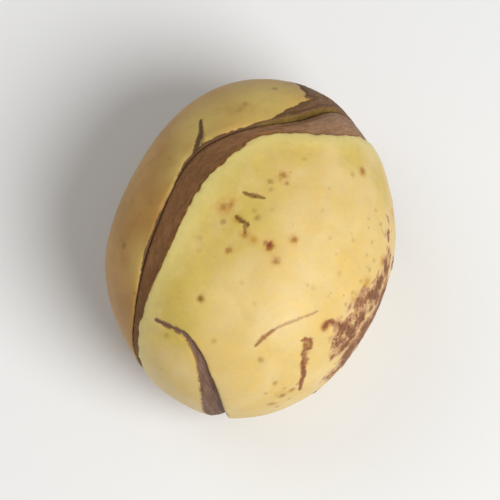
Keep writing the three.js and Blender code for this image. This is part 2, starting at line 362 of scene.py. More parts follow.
# Marks on the front half: millimetres right and up of the nut's middle in the photograph.
# Those that the photograph hides are placed by azimuth and elevation.
frontMarks = {
    "cuts": [   # dark dry nicks: half width, path, how dark
        (0.4, [(-0.85, 6.75), (0, 6.4), (0.5, 6.35), (1.7, 6.05)], 0.9),
        (0.46, [(0, 6.5), (0.4, 6.32), (0.8, 6.28)], 1.2),
        (0.46, [(-1.65, 3.95), (-0.93, 3.32), (-0.15, 2.95)], 1.05),
        (0.36, [(-0.75, 3), (-0.62, 2.4), (-0.6, 2)], 0.7),
    ],
    "hiddenCuts": [(0.24, [(-12, -8), (-9, -14)], 0.9), (0.2, [(-70, -38), (-64, -40), (-60, -38)], 0.8)],
    "scars": [   # thin red-brown scars
        (0.4, [(0.64, -11.2), (1.3, -10.5), (2.06, -9.8), (3, -9.1)], 0.9),
        (0.3, [(2.9, -9.15), (3.5, -8.85), (5.2, -8.15), (6.62, -7.6), (7.9, -7.1)], 0.55),
        (0.5, [(6, -10.5), (6.5, -10.35), (7.05, -10.5), (7, -11.3), (6.4, -11.6), (6, -12.2)], 1),
        (0.62, [(6.3, -10.9), (6.5, -11.5), (6.2, -12.2), (6.5, -12.9), (6.2, -13.5)], 0.9),
        (0.55, [(6.1, -12.9), (6.2, -13.6), (6.25, -14.4), (6, -15.2), (5.85, -16.3)], 1.3),
        (0.55, [(8.65, -8.9), (9, -8.45), (9.6, -8.4), (10.2, -8.8), (10.8, -9)], 1.1),
        (0.42, [(13.9, -4.5), (13.3, -4.8), (12.9, -5.5), (12.6, -6.2), (12.2, -7)], 0.8),
        (0.42, [(12.2, -6.2), (12.6, -6.6), (12.3, -7.4), (11.6, -7.6)], 0.75),
        (0.34, [(15, -2.2), (14.7, -3.2), (14.1, -3.9)], 0.7),
    ],
    "hiddenScars": [(0.24, [(-5, 6), (-2, -4), (-4, -16), (0, -26)], 0.8),
                    (0.26, [(-48, -36), (-36, -40), (-24, -36)], 0.9)],
    "spots": [   # dots: radius, right, up, how dark
        (0.85, 2.2, 0.55, 1), (0.5, 1.8, 0.8, 0.6), (0.65, 3.05, -1.25, 0.55), (0.6, 5.14, 1.2, 0.5),
        (0.7, -5.75, -5.65, 0.95), (0.6, -3.15, 3.25, 0.6), (0.6, 0.84, 3.74, 0.55), (0.6, -2.5, 0, 0.55),
        (0.5, 0.5, 4.6, 0.3), (0.6, 2.35, 8, 0.6), (0.65, 3.85, 8.7, 0.5), (0.5, 4.3, 7.75, 0.55),
        (0.45, 2.4, 7.05, 0.35), (0.5, 2.5, 4.7, 0.2), (0.7, 13, 9.2, 0.55), (0.55, 11.95, 8.75, 0.35),
        (0.6, -3.1, 5, 0.45), (0.5, -2.3, 5.2, 0.45), (0.5, -0.6, 1.7, 0.4), (0.55, -5.9, 1.45, 0.25),
        (0.5, -5.9, -0.1, 0.2), (0.6, 1.2, -12.8, 0.5), (0.55, -4.25, -10.6, 0.35), (0.55, -9.7, -9.9, 0.35),
        (0.62, 15.55, -1.4, 0.9), (0.5, 15.7, 1.8, 0.6), (0.45, 15.2, 3, 0.5), (0.85, 8.75, -8.85, 1),
        (0.45, 9.3, 1.4, 0.25), (0.45, 8.4, 4.6, 0.2), (0.45, 14.4, -1.2, 0.4), (0.6, 7.4, -4.4, 0.2),
        (0.55, 10.4, -2.7, 0.25), (0.5, 14.9, -3.3, 0.8), (0.45, 12, 1.1, 0.3), (0.45, 0.4, -6.2, 0.2),
        (0.45, -1, -3.8, 0.2), (0.45, 6.3, 10.6, 0.25), (0.4, 14.2, 0.9, 0.4), (0.4, 13.6, -0.6, 0.3),
        (0.4, 14.6, 4.6, 0.35), (0.45, 13.9, -2.3, 0.5), (0.42, 12.9, -3.6, 0.45), (0.5, 13.3, -4.3, 0.5),
        (0.45, 11.9, -4.9, 0.35), (0.45, 11.2, -6.3, 0.4), (0.45, 15.9, 0.3, 0.6),
        # freckles near the lower edge
        (0.55, 2.9, -15.5, 0.55), (0.8, 3.8, -17, 0.65), (0.5, 4.95, -16.2, 0.6), (0.7, 2.4, -17.9, 0.55),
        (0.4, 5.5, -15.6, 0.5), (0.55, 3.2, -18.3, 0.7), (0.4, 1.8, -16.7, 0.4), (0.5, 4.6, -17.4, 0.45),
        (0.4, 4, -16.1, 0.4),
    ],
    "blushes": [   # orange stains: radius, right, up
        (1.7, -2.8, 5), (1.1, -0.6, 1.9), (1.3, 2.2, 0.4), (0.9, -2.5, 0), (0.9, 0.4, 1.1), (1, 5.1, 1.2),
        (1.2, 13, 9.2), (1.2, 3.8, 8.5), (1, 3, -1.2), (1, -1.4, 3.6), (0.9, -2, 5.4), (1.2, 8.75, -8.85),
        (1.1, 3.5, -16.8), (0.9, 2.8, -18), (0.8, 4.8, -16.4), (1.4, 13.6, -3.8), (1.2, 15.4, -1.2),
        (1.1, 12.2, -5.4), (0.9, 6.6, -11), (0.8, 6.2, -13.4),
    ],
    "hiddenBlushes": [(1.8, -78, -12), (1.5, -4, -20), (2, -30, -34), (1.4, 12, 10), (2.2, -50, -22)],
    "greens": [   # where the skin is more olive; on the upper left the darker olive is also painted shade
        (11, -6.5, 5), (9, -9, -3), (7, -2.5, 9), (5, 5, 13), (6, -9, -9), (5, 12, 11.5), (4, 15.2, 7.5),
        (8, -1.5, 4.5),
    ],
    "hiddenGreens": [(5, -88, -14), (5, 4, -6), (6, -52, -44), (4, 24, -4), (5, -14, -34)],
    "crusts": [   # rusty flaked skin: radius, path
        (3.2, [(15.5, -5), (14.8, -6.8), (13.5, -9), (12.2, -11), (11, -12.6)]),
        (2.6, [(15.8, -6.6), (14.2, -9.6), (12.4, -12), (9.6, -14.1)]),
        (2.4, [(10.5, -9.4), (11.4, -9.4), (13, -7.8)]), (2.2, [(12.5, -6), (13.8, -5.4), (15, -4)]),
        (1.7, [(15.8, -3.2), (16, -0.8)]), (1.1, [(16.1, 1.6), (16, 2.6)]),
    ],
    "hiddenCrusts": [
        (2.2, [(-52, 16), (-44, 14)]), (1.7, [(-44, 6), (-40, -2)]), (1.7, [(-26, 18), (-24, 8)]),
        (1.6, [(-22, -16), (-18, -24)]), (1.2, [(-6, 0), (-2, -5)]), (1.3, [(10, -14), (14, -22)]),
        (1.6, [(-62, -28), (-54, -32)]), (1, [(22, 8), (20, 2)]), (1.1, [(-66, -6), (-64, -12)]),
    ],
    "crustWander": 1.6,
}


def cleftPlace(point, line):   # distance to the left of the cleft's floor, way along it, its opening
    radius = point.length
    way = point / radius
    best = (9, 9, 0, 0)
    for index in range(len(line) - 1):
        start, opening = line[index]
        end, nextOpening = line[index + 1]
        span = end - start
        share = min(max((way - start).dot(span) / span.length_squared, 0), 1)
        off = way - start - span * share
        if off.length * radius < best[0]:
            side = off.length * radius * (1 if off.dot(span.cross(start)) > 0 else -1)
            best = (abs(side), side, (index + share) * 0.9, opening + (nextOpening - opening) * share)
    return best[1:]


def cleftRelief(lift, point, side, along, opening):   # also how far inside the brown, and the rim's smoothing
    wide = smooth(*cleft["wideFrom"], opening)
    toLeftRim = cleft["left"] * opening - side
    toRightRim = side + cleft["right"] * opening
    rim = cleft["rimWeight"] * exp(-(toLeftRim / cleft["rimWidth"]) ** 2) * wide
    inside = min(toRightRim, toLeftRim)
    if abs(side) >= cleft["reach"]:
        return lift, inside, rim
    hair = exp(-(side / cleft["hairWidth"]) ** 2) * (1 - smooth(*cleft["hairUpTo"], opening))
    hair *= smooth(0, cleft["hairStart"], along)
    lift -= cleft["hairDepth"] * hair
    waves = noise.noise(Vector((along * 0.5, side * 4.5, 7)))
    lift += smooth(0, cleft["floorFrom"], inside) * cleft["floorWaves"] * waves
    lip = cleft["lip"] * exp(-((inside - cleft["lipPlace"]) / cleft["lipWidth"]) ** 2)
    lift += lip * (1 + grain(point, 0.5, 4)) * opening
    inside = min(toRightRim, toLeftRim + cleft["wallBrown"] * wide)
    if hair > 0.05:
        inside = max(inside, cleft["hairBrown"] - abs(side))
    return lift, inside, rim


def marginHollow(stops, distance):   # depth of the margin under the skin, by distance from the lobe's edge
    for (start, depth), (end, nextDepth) in zip(stops, stops[1:]):
        if distance < end:
            return depth + (nextDepth - depth) * smooth(start, end, distance)
    return 0


def shapeFront(half):
    line = [(directionAt(stop.x, stop.y), stop.z) for stop in roundedPath(cleft["stops"], 4)]
    dents = placeDents(half, front["dents"])
    mesh = half.data
    crusts = mesh.attributes["crusts"].data
    numbers = {"marginEdge": [], "paleEnd": [], "cleftInside": []}
    flows = {"seamFlow": [], "cleftFlow": []}
    rims, moved = [], []
    for vertex in mesh.vertices:
        point = vertex.co * 1000 - middle
        angle, level = seamPlace(point)
        slit = bells(angle, nut["slit"])
        edge = level - (nut["marginWidth"] + bells(angle, nut["marginSwells"]))
        fray = fraying(point, front) * (1 + grain(point, *front["frayPatches"]))
        ragged = edge + (bells(angle, front["edgeShifts"]) + fray)
        flow, streak = seamFlow(angle, level)
        skin = smooth(*nut["skinFrom"], ragged)
        lift = marginHollow(front["oldEdge"], edge) - marginHollow(front["newEdge"], ragged)
        lift += front["flush"] * (1 - smooth(*front["flushWithin"], level)) * (1 - slit)
        lift += front["fibre"] * streak * (1 - skin)
        lift -= bells(angle, front["slitDips"]) * (1 - smooth(*front["dipWithin"], level))
        lift = withSkinRelief(lift, point, front, dents, skin, crusts[vertex.index].value)
        side, along, opening = 9, 0, 0   # far from the cleft
        if point.y < cleft["north"] and point.x < cleft["east"] and level > cleft["above"]:
            side, along, opening = cleftPlace(point, line)
        lift, inside, rim = cleftRelief(lift, point, side, along, opening)
        rims.append(rim)
        numbers["marginEdge"].append(ragged)
        numbers["paleEnd"].append(bells(angle, front["paleEnd"]))
        numbers["cleftInside"].append(max(min(inside, 3), -3))
        flows["seamFlow"].append(flow)
        flows["cleftFlow"].append(Vector((along * 0.6, side, 0)))
        shift = vertex.normal * lift * smooth(*front["reliefFrom"], level)
        moved.append(vertex.co + (shift + closing(point, angle, level, 1 - slit)) / 1000)
    for vertex, place in zip(mesh.vertices, moved):
        vertex.co = place
    softened = half.vertex_groups.new(name="lobeEdge")
    for index, ragged in enumerate(numbers["marginEdge"]):
        near = smooth(*front["smoothFrom"], ragged) * (1 - smooth(*front["smoothUpTo"], ragged))
        weight = max(near, rims[index])
        if weight > 0:
            softened.add([index], weight, "REPLACE")
    calm = half.modifiers.new("calmEdge", "SMOOTH")
    calm.vertex_group = softened.name
    calm.factor = 0.5
    calm.iterations = front["smoothSteps"]
    bpy.ops.object.modifier_apply(modifier=calm.name)
    keepAll(mesh, numbers, flows)


# ---- back half: tan flank, narrow brown margin

back = {
    "fray": 0.2, "frayGrains": (1.0, 0.4, 13),
    "marginLeft": 0.3,   # brown that shows beside the seam
    "swellsFrom": 60, "swellsUpTo": -20,   # angles between which the margin widens, the long way round
    "fibre": 0.04, "reliefFrom": (0.2, 0.8),
    "swell": (0.13, 6.0, 11), "wrinkle": (0.035, 1.9, 15), "flakes": (0.09, 0.6, 19),
    "restHeight": (0.3, 0.9),   # the nut is reshaped above these heights, as it lies on its flat spot
    "rimFill": 0.4,
    "slitEnd": (0.2, 0.42),   # where the open seam's pith ends, and the dark line under it, which is painted shadow of the rim
    "slitShadowLine": -0.62, "slitShadowWidth": 0.17,
    "patchArea": (-4, 12), "patchFade": (-0.45, -0.05),   # fades as the skin turns away
    "dents": [(178, -30, 5.0, 0.3), (140, -22, 4.2, 0.24), (212, -18, 4.4, 0.2), (108, -20, 4.0, 0.22),
              (-122, -26, 4.6, 0.24), (160, 6, 4.0, 0.1), (225, 14, 4.2, 0.12), (74, -30, 3.6, 0.2)],
    # outline of the brown patch at the top right end of the seam, as the photograph shows it
    "patch": [(5.1, 22), (5.06, 19.65), (6.1, 18.6), (6.9, 17.7), (8.1, 17.2), (5.9, 16.7), (4.9, 16.3),
              (3.0, 15.4), (0.2, 14.6), (-2.62, 13.65), (-2.6, 12.6), (10, 13.5), (20, 13), (20, 22)],
}

backMarks = {
    "cuts": [
        (0.5, [(-5.7, 15.1), (-5.75, 13.6), (-6.1, 12.4), (-6.6, 11.3)], 1.3),
        (0.72, [(-5.65, 13.9), (-5.8, 13), (-6.15, 12.2)], 1.3),
    ],
    "hiddenCuts": [(0.25, [(128, 4), (133, -6), (131, -14)], 0.9), (0.2, [(176, -22), (172, -30)], 0.9)],
    "scars": [
        (0.22, [(-12.9, 8.4), (-12.2, 9.6), (-11, 10.6)], 0.35),
    ],
    "hiddenScars": [(0.24, [(88, -6), (97, -12), (110, -14), (118, -24)], 0.8),
                    (0.22, [(-150, -36), (-160, -46)], 0.8)],
    "spots": [
        (0.58, -14.65, 0.5, 0.6), (0.6, 2.9, 18.7, 0.5), (0.5, -11.5, 5.5, 0.3), (0.5, -9.4, 10.6, 0.25),
        (0.5, -13.4, -5, 0.3), (0.5, -0.6, 17, 0.25),
    ],
    # darker, redder patches down the left flank: painted shade there, radius, right, up
    "blushes": [
        (2.4, -14.6, -1.2), (2, -12.4, 7.4), (1.8, -9.4, 10), (2, -13.2, 3.4), (2.8, -15, -6.5),
        (1.3, -8.2, 6), (2.6, -14.8, -9.4), (2.2, -14.6, -12), (2.2, -15.8, -3.4),
    ],
    # on the hidden sides they are orange stains
    "hiddenBlushes": [(4.5, 172, -22), (3.5, 202, 2), (3.5, 142, -8), (4.5, -148, -32), (3, 108, 4),
                      (3.5, -126, -12), (3, 80, -14), (3.5, 186, -44)],
    # where the skin is more olive and lighter; at the top this is also painted light
    "greens": [
        (10, 1.5, 17.5), (6, -6, 14.5), (5, -7.5, 9.5), (5, -11, -1.5),
    ],
    "hiddenGreens": [(5, 190, -36), (6, -138, -10), (5, 120, -28), (5, 158, -8), (5, -160, -50)],
    "crusts": [
        (1.3, [(7.4, 17.3), (8.2, 16.6)]), (1.1, [(5.8, 19.3), (6.2, 18.8)]),
    ],
    "hiddenCrusts": [
        (2.6, [(66, -8), (58, -12)]), (2, [(42, -24), (38, -32)]), (1.5, [(84, -28), (74, -34)]),
        (1.7, [(162, -30), (170, -36), (180, -36)]), (1.3, [(-172, -10), (-168, -16)]),
        (1.4, [(122, -18), (116, -24), (118, -30)]), (1.1, [(100, 2), (96, -2)]),
    ],
    "crustWander": 1.2,
}


def patchPlace(right, up):   # distance in millimetres to the brown patch's outline, negative inside it
    stops = back["patch"]
    nearest, inside = 99, False
    for (startX, startY), (endX, endY) in zip(stops, stops[1:] + stops[:1]):
        spanX, spanY = endX - startX, endY - startY
        share = ((right - startX) * spanX + (up - startY) * spanY) / (spanX ** 2 + spanY ** 2)
        share = min(max(share, 0), 1)
        nearest = min(nearest, hypot(right - startX - share * spanX, up - startY - share * spanY))
        if (startY > up) != (endY > up) and right < startX + (up - startY) * spanX / spanY:
            inside = not inside
    return -nearest if inside else nearest


def shapeBack(half):
    mesh = half.data
    dents = placeDents(half, back["dents"])
    crusts = mesh.attributes["crusts"].data
    numbers = {"marginEdge": [], "slit": [], "slitShadowLine": []}
    flows, moved = [], []
    for vertex in mesh.vertices:
        point = vertex.co * 1000 - middle
        angle, level = seamPlace(point)
        width = back["marginLeft"]
        if angle < back["swellsUpTo"] or angle > back["swellsFrom"]:
            width += 0.8 * (bells(angle, nut["backMarginSwells"]) + 0.2 * grain(point, 4, 12))
        edge = -level - width
        right, up = inPicture(point)
        if right > back["patchArea"][0] and up > back["patchArea"][1] and level < 0:
            facing = vertex.normal.dot(toEye) + 0.2 * grain(point, 2.5, 21)
            edge = min(edge, patchPlace(right, up) + 4 * (1 - smooth(*back["patchFade"], facing)))
        ragged = edge + fraying(point, back) * (1 - 0.75 * smooth(60, 85, abs(angle)))
        flow, streak = seamFlow(angle, level)
        skin = smooth(*nut["skinFrom"], ragged)
        lift = back["fibre"] * (streak - 1) * (1 - skin)
        lift = withSkinRelief(lift, point, back, dents, skin, crusts[vertex.index].value)
        clear = smooth(*back["restHeight"], vertex.co.z * 1000)
        slit = bells(angle, nut["slit"])
        numbers["marginEdge"].append(ragged)
        numbers["slit"].append(slit * (1 - smooth(*back["slitEnd"], -level)))
        numbers["slitShadowLine"].append(slit * exp(-((level - back["slitShadowLine"]) / back["slitShadowWidth"]) ** 2))
        flows.append(flow)
        shift = vertex.normal * lift * (smooth(*back["reliefFrom"], -level) * clear)
        moved.append(vertex.co + (shift + closing(point, angle, level, back["rimFill"]) * clear) / 1000)
    for vertex, place in zip(mesh.vertices, moved):
        vertex.co = place
    keepAll(mesh, numbers, {"seamFlow": flows})


# ---- helpers for materials

def put(tree, kind, **values):
    node = tree.nodes.new(kind)
    for name, value in values.items():
        setattr(node, name, value)
    return node


def feed(tree, socket, value):
    if isinstance(value, bpy.types.NodeSocket):
        tree.links.new(value, socket)
    else:
        socket.default_value = value


def sums(tree, operation, first, second=0.0, third=0.0, clamp=False):
    node = put(tree, "ShaderNodeMath", operation=operation, use_clamp=clamp)
    for socket, value in zip(node.inputs, (first, second, third)):
        feed(tree, socket, value)
    return node.outputs[0]


def times(tree, first, second, clamp=False):
    return sums(tree, "MULTIPLY", first, second, clamp=clamp)


def timesPlus(tree, first, second, third, clamp=False):
    return sums(tree, "MULTIPLY_ADD", first, second, third, clamp)


def vectors(tree, operation, first, second=None, scale=None):
    node = put(tree, "ShaderNodeVectorMath", operation=operation)
    feed(tree, node.inputs[0], first)
    if second is not None:
        feed(tree, node.inputs[1], second)
    if scale is not None:
        feed(tree, node.inputs["Scale"], scale)
    return node.outputs["Value" if operation == "LENGTH" else "Vector"]


def spread(tree, value, low, high, toLow=0.0, toHigh=1.0):   # smooth step from low to high
    node = put(tree, "ShaderNodeMapRange", interpolation_type="SMOOTHSTEP")
    for socket, number in zip(node.inputs, (value, low, high, toLow, toHigh)):
        feed(tree, socket, number)
    return node.outputs[0]


def blend(tree, mask, under, over):
    node = put(tree, "ShaderNodeMix", data_type="RGBA")
    for index, value in ((0, mask), (6, under), (7, over)):
        feed(tree, node.inputs[index], (*value, 1) if isinstance(value, tuple) else value)
    return node.outputs[2]


def shaded(tree, colour, shade):   # the colour times a grey
    return vectors(tree, "SCALE", colour, scale=shade)


def cloud(tree, coords, size, detail=3.0, rough=0.55, warp=0.0):   # noise, size in millimetres
    node = put(tree, "ShaderNodeTexNoise")
    feed(tree, node.inputs["Vector"], coords)
    for label, value in (("Scale", 1 / size), ("Detail", detail), ("Roughness", rough), ("Distortion", warp)):
        node.inputs[label].default_value = value
    return node.outputs["Fac"]


def kept(tree, name, output="Fac"):   # an attribute of the mesh
    return put(tree, "ShaderNodeAttribute", attribute_name=name).outputs[output]


def newGroup(name, inputs, outputs):
    group = bpy.data.node_groups.new(name, "ShaderNodeTree")
    for labels, side in ((inputs, "INPUT"), (outputs, "OUTPUT")):
        for label in labels:
            kind = "Vector" if label in ("Coords", "Flow", "Stretch") else "Float"
            group.interface.new_socket(name=label, in_out=side, socket_type="NodeSocket" + kind)
    return group, put(group, "NodeGroupInput").outputs, put(group, "NodeGroupOutput").inputs


def use(tree, group, **values):
    node = put(tree, "ShaderNodeGroup", node_tree=group)
    for name, value in values.items():
        feed(tree, node.inputs[name], value)
    return node.outputs


# ---- shared effects

def buildSkinGrain():   # broad mottling, fine tone and height of the waxy skin
    group, given, made = newGroup("skinGrain", ["Coords"], ["Tone", "Fine", "Height"])
    coords = given["Coords"]
    broad = cloud(group, coords, 5.5, 3, 0.5, 0.6)
    patches = cloud(group, coords, 1.7, 4, 0.6, 0.4)
    pores = cloud(group, coords, 0.42, 3, 0.6)
    tone = timesPlus(group, broad, 0.65, times(group, patches, 0.35))
    feed(group, made["Tone"], spread(group, tone, 0.34, 0.66))
    for output, patchShare, poreShare in (("Fine", 0.75, 0.25), ("Height", 0.6, 0.35)):
        both = timesPlus(group, patches, patchShare, times(group, pores, poreShare))
        feed(group, made[output], both)
    return group


def buildSpecks():   # scattered dots: cell size in millimetres, share of cells that hold one, radius in cells
    group, given, made = newGroup("specks", ["Coords", "Cell", "Share", "Radius"], ["Mask"])
    inverse = sums(group, "DIVIDE", 1.0, given["Cell"])
    scaled = vectors(group, "SCALE", given["Coords"], scale=inverse)
    cell = put(group, "ShaderNodeTexVoronoi", feature="F1")
    cell.inputs["Scale"].default_value = 1
    feed(group, cell.inputs["Vector"], scaled)
    parts = put(group, "ShaderNodeSeparateColor")
    feed(group, parts.inputs[0], cell.outputs["Color"])
    chosen = sums(group, "LESS_THAN", parts.outputs[0], given["Share"])
    size = times(group, given["Radius"], timesPlus(group, parts.outputs[1], 0.8, 0.5))
    wobble = timesPlus(group, cloud(group, scaled, 0.2, 2), 0.3, -0.15)
    near = sums(group, "ADD", cell.outputs["Distance"], wobble)
    dot = spread(group, near, times(group, size, 0.3), size, 1, 0)
    strength = timesPlus(group, parts.outputs[2], 0.8, 0.2)
    feed(group, made["Mask"], times(group, times(group, chosen, dot), strength))
    return group


nearLimit = 1.45   # further than this from the nearest mark, a distance between vertices can't be trusted


def buildMark():   # a mark with a wavy border, from the distance to its middle in half widths
    group, given, made = newGroup("markShape", ["Coords", "Distance", "Near", "Waver", "Soft"], ["Mask"])
    shake = sums(group, "SUBTRACT", cloud(group, given["Coords"], 0.35, 3), 0.5)
    distance = timesPlus(group, shake, given["Waver"], given["Distance"])
    inner = sums(group, "SUBTRACT", 1.0, given["Soft"])
    mask = spread(group, distance, inner, 1.0, 1, 0)
    close = sums(group, "LESS_THAN", given["Near"], nearLimit)
    feed(group, made["Mask"], times(group, mask, close))
    return group


def buildRagged():   # mask of what lies under an edge, with a frayed border
    group, given, made = newGroup("raggedEdge", ["Coords", "Distance", "Fray", "Soft"], ["Mask"])
    coarse = cloud(group, given["Coords"], 0.7, 3, 0.6, 0.5)
    fine = cloud(group, given["Coords"], 0.22, 2, 0.6)
    shake = sums(group, "SUBTRACT", timesPlus(group, fine, 0.5, coarse), 0.75)
    edge = timesPlus(group, shake, given["Fray"], given["Distance"])
    half = times(group, given["Soft"], 0.5)
    feed(group, made["Mask"], spread(group, edge, times(group, half, -1.0), half, 1, 0))
    return group


def buildFibres():   # streaks that run along the seam or the cleft
    group, given, made = newGroup("fibres", ["Flow", "Stretch"], ["Streak", "Height"])
    along = vectors(group, "MULTIPLY", given["Flow"], given["Stretch"])
    wide = cloud(group, along, 1.0, 4, 0.62, 0.3)
    thin = cloud(group, along, 0.35, 3, 0.6, 0.2)
    streak = timesPlus(group, thin, 0.45, times(group, wide, 0.55))
    feed(group, made["Streak"], spread(group, streak, 0.36, 0.64))
    level = sums(group, "SUBTRACT", wide, 0.75)   # so that the height is even on average
    feed(group, made["Height"], timesPlus(group, thin, 0.5, level))
    return group


skinGrain = buildSkinGrain()
specks = buildSpecks()
markShape = buildMark()
raggedEdge = buildRagged()
fibres = buildFibres()
print("shared effects built")


markEdges = {"cuts": (1.1, 0.9), "scars": (1.5, 0.85), "spots": (0.7, 0.9)}   # how wavy, how soft


def markMasks(tree, coords):   # masks of the cuts, scars, spots, blushes, stains and crusts
    masks = {}
    for kind, (waver, soft) in markEdges.items():
        near = kept(tree, kind + "Near")
        distance = near   # for round dots; a thin line needs the way to it, which stays exact between vertices
        if kind != "spots":
            distance = vectors(tree, "LENGTH", kept(tree, kind + "Away", "Vector"))
        mark = use(tree, markShape, Coords=coords, Distance=distance, Near=near, Waver=waver, Soft=soft)
        masks[kind] = times(tree, mark["Mask"], kept(tree, kind + "Tone"))
    # orange stains; on the back's left flank the same mask paints shade
    masks["blushes"] = times(tree, kept(tree, "blushes"),
                            spread(tree, cloud(tree, coords, 0.9, 4, 0.65), 0.28, 0.58))
    curl = sums(tree, "ABSOLUTE", sums(tree, "SUBTRACT", cloud(tree, coords, 0.6, 2, 0.5, 0.8), 0.5))
    lace = timesPlus(tree, cloud(tree, coords, 0.5, 3, 0.65), 0.6, times(tree, curl, -2.0))
    cover = kept(tree, "crusts")
    crust = spread(tree, timesPlus(tree, cover, 0.78, lace), 0.42, 0.68)
    masks["crust"] = times(tree, crust, spread(tree, cover, 0.05, 0.3))
    masks["stain"] = times(tree, spread(tree, cover, 0.0, 0.45),
                          spread(tree, cloud(tree, coords, 1.1, 4, 0.65), 0.3, 0.54))
    return masks


def paint(tree, colour, mask, strength, over):
    return blend(tree, times(tree, mask, strength, clamp=True), colour, over)


def paintMarks(tree, colour, marks, look, mixed):   # later kinds lie over earlier; mixed holds uneven colours
    for kind, (tone, strength) in look["marks"].items():
        colour = paint(tree, colour, marks[kind], strength, mixed.get(kind, tone))
    return colour


def bareSkin(tree, coords, look, tone):   # mottled, with olive parts, which are also painted shade on the front and painted light on the back
    colour = blend(tree, tone, look["light"], look["deep"])
    olive = spread(tree, cloud(tree, coords, 3.2, 3), *look["oliveFrom"])
    return paint(tree, colour, times(tree, kept(tree, "greens"), olive), look["oliveStrength"], look["olive"])


def rustTones(tree, coords, look):
    flakes = spread(tree, cloud(tree, coords, 0.45, 3, 0.6), 0.35, 0.65)
    return blend(tree, flakes, look["marks"]["crust"][0], look["crustPale"])


def axes(tree, vector):
    node = put(tree, "ShaderNodeSeparateXYZ")
    feed(tree, node.inputs[0], vector)
    return node.outputs


def seamStrands(tree):   # fibres of the margin, height over the seam
    flow = kept(tree, "seamFlow", "Vector")
    return use(tree, fibres, Flow=flow, Stretch=(0.7, 0.7, 2.6)), axes(tree, flow)[2]


def startMaterial(piece, name):
    material = bpy.data.materials.new(name)
    piece.data.materials.append(material)
    material.use_nodes = True
    tree = material.node_tree
    tree.nodes.clear()
    shader = put(tree, "ShaderNodeBsdfPrincipled")
    output = put(tree, "ShaderNodeOutputMaterial")
    tree.links.new(shader.outputs[0], output.inputs[0])
    place = put(tree, "ShaderNodeTexCoord").outputs["Object"]
    coords = vectors(tree, "SCALE", place, scale=1000.0)   # millimetres
    return tree, shader, coords


frontLook = {
    "light": (0.76, 0.565, 0.24), "deep": (0.7, 0.485, 0.145), "edgeCreamAndSheen": (0.78, 0.655, 0.235),
    # the olive is darker than the cream and also paints shade
    "olive": (0.62, 0.45, 0.08), "oliveFrom": (0.15, 0.6), "oliveStrength": 0.95,
    "margin": (0.155, 0.062, 0.015), "marginPale": (0.22, 0.1, 0.032), "seamShade": (0.1, 0.04, 0.01),
    "endBrown": (0.28, 0.145, 0.07), "endPale": (0.42, 0.245, 0.135), "fringe": (0.42, 0.17, 0.03),
    "cleft": (0.13, 0.062, 0.038), "cleftPale": (0.25, 0.145, 0.095), "cleftRim": (0.24, 0.1, 0.03),
    "redSpot": (0.23, 0.045, 0.004), "crustPale": (0.44, 0.2, 0.085),
    "marks": {   # colour and strength
        "blushes": ((0.54, 0.28, 0.036), 0.95), "specks": ((0.42, 0.24, 0.06), 0.75),
        "spots": ((0.27, 0.125, 0.012), 1.0), "scars": ((0.25, 0.07, 0.014), 0.9),
        "cuts": ((0.19, 0.075, 0.006), 0.92), "stain": ((0.52, 0.27, 0.13), 0.85),
        "crust": ((0.135, 0.038, 0.009), 0.92),
    },
    "roughness": 0.4, "dullness": 0.28, "subsurface": 0.12,
}


